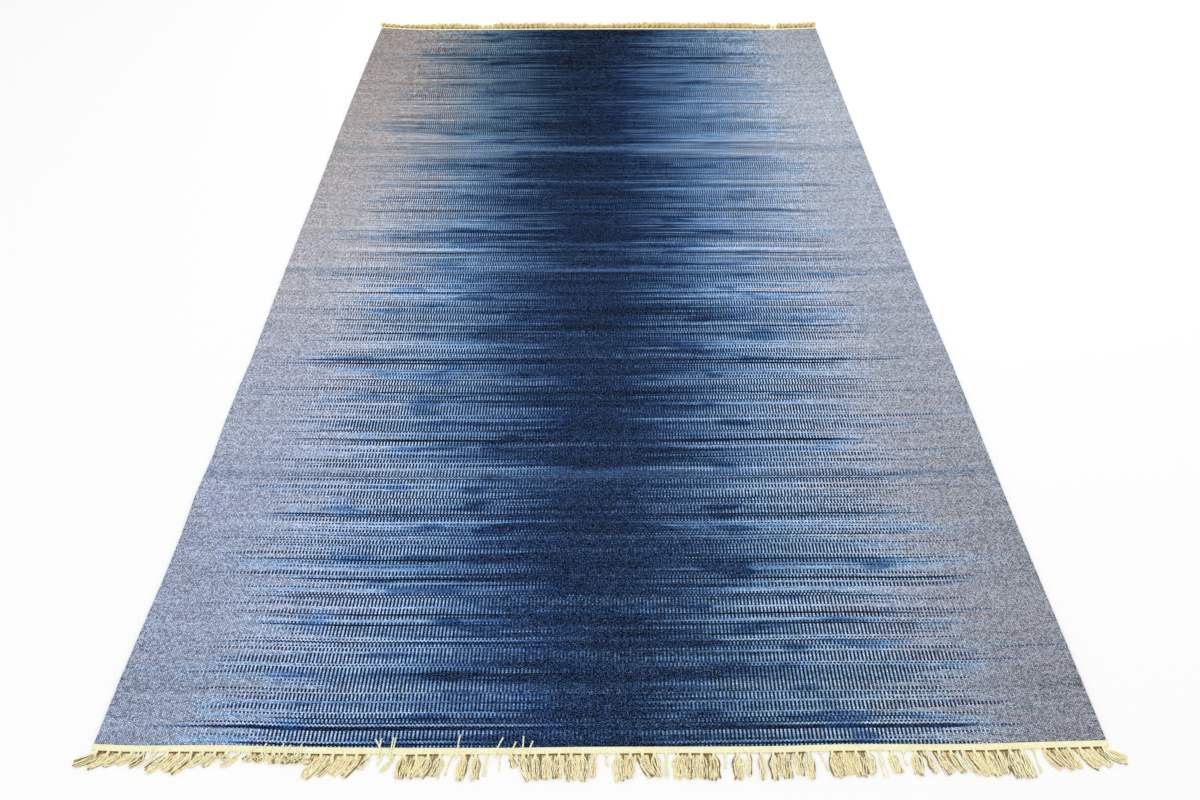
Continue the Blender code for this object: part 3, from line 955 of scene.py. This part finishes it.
def layUpperYarns(end):
    # The yarns that lie on top of each bundle, leaving some out of the thin ones
    bundles, loose = layBundles(end), looseness[end]
    count, each = fringe["bundles"], fringe["upperYarns"]
    chance = np.random.default_rng(loose["seed"] + 100)
    radius = fringe["plyRadius"] + fringe["twistRadius"]
    slot = np.linspace(-0.84, 0.84, each)[None, :] + chance.normal(0.0, 0.10, (count, each))
    lateral = slot * (fringe["neckHalfWidth"] - 0.0007)
    piled = np.where(bundles["full"] > 0.45, 0.0013, 0.0)[:, None]
    heights = np.zeros((count, each, 6))
    for step, level in enumerate((0.0018, 0.0026, 0.0026)):
        heights[:, :, step] = level + chance.uniform(-0.0002, 0.0004, (count, each))
    lengthShare = np.clip((bundles["length"] - 0.024) / 0.024, 0.0, 1.0)[:, None]
    lower = chance.random((count, each)) < 0.2
    clump = (chance.random((count, 1)) * 0.6 + np.roll(chance.random((count, 1)), 1) * 0.6) ** 1.5
    for step, share in enumerate((0.9, 1.0, 0.6)):
        lift = chance.uniform(0.0, 1.0, (count, each)) * loose["lift"] * share
        curl = chance.uniform(0.0, 1.0, (count, each)) * loose["curl"] * lengthShare
        rest = radius + np.where(lower, 0.0, piled) - step * 0.0002
        heights[:, :, step + 3] = np.maximum(rest, radius) + lift + curl * share * clump
    paths = bendYarns(bundles, slot, lateral, heights, chance, fringe["upperRings"], loose)
    paths[..., 2] = np.clip(paths[..., 2], radius, fringe["highest"])
    wanted = np.ceil(bundles["full"] * each - 0.5)
    return thinned(paths, bundles["share"], wanted, chance)


def layUnderYarns(end):
    # The yarns that come out under the band between the knots and fill each bundle
    bundles, loose = layBundles(end), looseness[end]
    count, each = fringe["bundles"], fringe["underYarns"]
    chance = np.random.default_rng(loose["seed"] + 150)
    radius = fringe["underRadius"] * fringe["underFlatness"]
    slot = np.linspace(-0.94, 0.94, each)[None, :] + chance.normal(0.0, 0.06, (count, each))
    reach = np.where(bundles["open"], 0.11, 0.50) * fieldWidth / count
    lateral = slot * np.where(slot > 0, reach[1][:, None], reach[0][:, None])
    heights = radius + chance.uniform(0.0, 0.0004, (count, each, 6))
    heights[:, :, 3:] += chance.uniform(0.0, 1.0, (count, each, 1)) * loose["lift"] * 0.6
    paths = bendYarns(bundles, slot, lateral, heights, chance, fringe["underRings"], loose)
    paths[..., 2] = np.maximum(paths[..., 2], radius)
    wanted = np.round(np.clip(bundles["full"] * 1.5 - 0.5, 0.0, 1.0) * each)
    return thinned(paths, bundles["share"], wanted, chance)


yarn = {
    "light": (255, 255, 220),
    "dull": (252, 238, 192),
    "tan": (250, 233, 180),
    # shade: painted shade for under yarns that lie beneath the upper ones
    "shade": (146, 120, 66),
    # root: painted shade where the yarns come out under the band's edge
    "root": (122, 98, 50),
    "farTint": (255, 241, 210),
}


def makeUndyedYarn():
    material, tree, shader = startMaterial("undyedYarn", 0.92, 0.12)
    lot, under, fromRoot = [pointMark(tree, label) for label in ("lot", "under", "fromRoot")]
    upper = blend(tree, lot ** 1.3, linear(yarn["light"]), linear(yarn["dull"]))
    # Under yarns run from tan to a painted shade by their lot, standing for the shade beneath the
    # upper yarns
    lower = blend(tree, lot.rise(0.38, 0.80), linear(yarn["tan"]), linear(yarn["shade"]))
    base = blend(tree, under, upper, lower)
    far = apart(tree, objectPlace(tree))[1].above(0.0)
    # Painted shade at the roots, under the band's edge; at the far end it reaches further and falls
    # on the upper yarns too, as painted shade among the curled yarns
    root = 1.0 - fromRoot.rise(0.0052, far * 0.016 + 0.0070)
    root *= under + (1.0 - under) * far * 0.4
    base = blend(tree, root, base, linear(yarn["root"]))
    tint = blend(tree, far, linear((255, 255, 255)), linear(yarn["farTint"]))
    base = blend(tree, 1.0, base, tint, "MULTIPLY")
    fibreTone, fibreHeight = placeGroup(tree, fibre, Depth=0.6)
    coat(tree, shader, base, fibreTone, fibreHeight, 0.0002, 0.6)
    return material


undyedYarn = makeUndyedYarn()


def addFringe(piece, *nodes):
    finishPiece(piece, undyedYarn, "undyed_warp", *nodes)


for end in ("near", "far"):
    paths, lot, share = layUpperYarns(end)
    chance = np.random.default_rng(looseness[end]["seed"] + 200)
    for side, chosen in (("Left", share < 0.5), ("Right", share >= 0.5)):
        name = f"yarns{end.capitalize()}{side}"
        addFringe(makeTwoPly(name, paths[chosen], lot[chosen], chance), f"fringe_{end}")
    paths, lot, share = layUnderYarns(end)
    radii = np.full(paths.shape[:2], fringe["underRadius"])
    name, sides = f"underYarns{end.capitalize()}", fringe["underSides"]
    marks = (fromRootOf(paths), lot[:, None], 1.0)
    addFringe(makeTubes(name, paths, radii, sides, marks, fringe["underFlatness"]), f"fringe_{end}")


# The knots that hold the bundles

knot = {
    "turns": 2.1,
    "length": 0.0034,
    "outward": 0.0006,      # how far its end reaches past the root
    "halfWidth": 0.0024,
    "height": 0.0013,
    "sizeJitter": 0.08,
    "radius": 0.0007,
    "rings": 22,
    "marks": (0.02, 0.15, 0.0),     # as makeTubes takes them
}


def makeKnots(end):
    # A short coil round each bundle: x = w cos a, z = h sin a, with a running on outward
    bundles, count, rings = layBundles(end), fringe["bundles"], knot["rings"]
    chance = np.random.default_rng(looseness[end]["seed"] + 300)
    a = np.linspace(0.0, knot["turns"] * 2 * math.pi, rings)[None, :]
    a = a + chance.uniform(0, 2 * math.pi, (count, 1))
    size = 1.0 + chance.normal(0.0, knot["sizeJitter"], (count, 1))
    along = np.linspace(-1.0, 0.0, rings)[None, :] * knot["length"] + knot["outward"]
    centres = np.stack([
        bundles["root"][:, None, 0] + np.cos(a) * knot["halfWidth"] * size,
        bundles["root"][:, None, 1] + bundles["out"] * along + np.zeros((count, 1)),
        knot["radius"] + knot["height"] * (1.0 + np.sin(a)) * size,
    ], -1)
    name, radii = f"knots{end.capitalize()}", np.full((count, rings), knot["radius"])
    sides, marks = fringe["upperSides"], knot["marks"]
    return makeTubes(name, centres, radii, sides, marks, level=(0.0, 1.0, 0.0))


for end in ("near", "far"):
    addFringe(makeKnots(end))
print("knots:", 2 * fringe["bundles"])

# Stray yarns flipped back over the band. Columns: share of the way along the near end, lean
# towards the right in degrees, then in millimetres the reach past the band onto the field
# and the hook of the tip to the right.
strays = (
    (0.2858, -28, 14, 0), (0.2828, 2, 15, 0), (0.2946, 0, 17, 1), (0.2966, 3, 16, 0),
    (0.3596, 1, 22, 2), (0.397, 21, 17, 0), (0.4127, 16, 9, 0), (0.4235, 2, 19, -1),
    (0.4294, 15, 10, 0), (0.156, 34, -2, 6), (0.172, -30, 3, 9), (0.179, 10, -4, -8),
    (0.186, 26, 4, -6), (0.193, -12, 1, 8), (0.201, 18, -3, -7), (0.207, -20, 3, 5),
    (0.06, -24, -6, 5), (0.9, 30, -6, 4),
)

# Their course. Columns: share of the way to the tip, height in metres.
strayCourse = ((-0.10, 0.0016), (0.06, 0.0050), (0.40, 0.0056), (0.72, 0.0058), (1.0, 0.0054))
strayThickness = 1.5        # times the fringe's other yarns
straySeed = 77


def makeStrays():
    # Sideways = total tan(lean) run^1.4 + hook run^3 at each share of the way that is run
    table = np.array(strays)
    share, lean = table[:, 0], np.radians(table[:, 1])
    reach, hook = table[:, 2] * millimetre, table[:, 3] * millimetre
    x, y = beyondEnd(share, headingWidth + rootWidth, "near")
    total = headingWidth + rootWidth + reach
    marks = np.zeros((len(table), len(strayCourse), 3))
    for step, (run, height) in enumerate(strayCourse):
        past = max(run, 0.0)
        marks[:, step, 0] = x + np.tan(lean) * total * past ** 1.4 + hook * past ** 3
        marks[:, step, 1] = y + total * run
        marks[:, step, 2] = height
    paths = throughMarks(marks, fringe["upperRings"])
    chance = np.random.default_rng(straySeed)
    lot = chance.uniform(0.0, 0.25, len(table))
    return makeTwoPly("strayYarns", paths, lot, chance, strayThickness)


addFringe(makeStrays())


# Floor, light and camera

studio = {
    "floor": (250, 250, 250),
    "worldStrength": 0.92,
    "keyPower": 34.0,
    "lightSize": 2.6,
    "keyPlace": (1.6, 2.6, 3.4),
    "fillPower": 8.0,
    "fillPlace": (-2.0, -2.6, 3.0),
}


def makeFloor():
    bpy.ops.mesh.primitive_plane_add(size=60.0)
    floor = bpy.context.object
    floor.name = "studioFloor"
    material, tree, shader = startMaterial("studioFloor", 0.85, 0.0)
    shader.inputs["Base Color"].default_value = linear(studio["floor"])
    floor.data.materials.append(material)


def makeLight(name, power, place):
    light = bpy.data.lights.new(name, "AREA")
    light.energy = power
    light.size = studio["lightSize"]
    lamp = addObject(name, light)
    lamp.location = place
    lamp.rotation_euler = (-lamp.location).to_track_quat("-Z", "Y").to_euler()


def makeWorld():
    world = bpy.data.worlds.new("studioAir")
    world.use_nodes = True
    background = world.node_tree.nodes["Background"]
    background.inputs["Color"].default_value = (1.0, 1.0, 1.0, 1.0)
    background.inputs["Strength"].default_value = studio["worldStrength"]
    bpy.context.scene.world = world


view = {
    "place": (-0.0018, -2.1236, 1.5490),
    "down": 46.156,         # degrees below the horizon
    "turn": -0.065,
    "roll": -0.033,
    "lens": 26.21,
}


def makeCamera():
    data = bpy.data.cameras.new("camera")
    data.lens = view["lens"]
    data.sensor_width = 36.0
    camera = addObject("camera", data)
    camera.location = view["place"]
    angles = ((view["turn"], "Z"), (90.0 - view["down"], "X"), (view["roll"], "Z"))
    turn, tilt, roll = [Matrix.Rotation(math.radians(angle), 3, axis) for angle, axis in angles]
    camera.rotation_euler = (turn @ tilt @ roll).to_euler()
    bpy.context.scene.camera = camera


makeFloor()
makeLight("key", studio["keyPower"], studio["keyPlace"])
makeLight("fill", studio["fillPower"], studio["fillPlace"])
makeWorld()
makeCamera()
bpy.context.scene.view_settings.view_transform = "Standard"
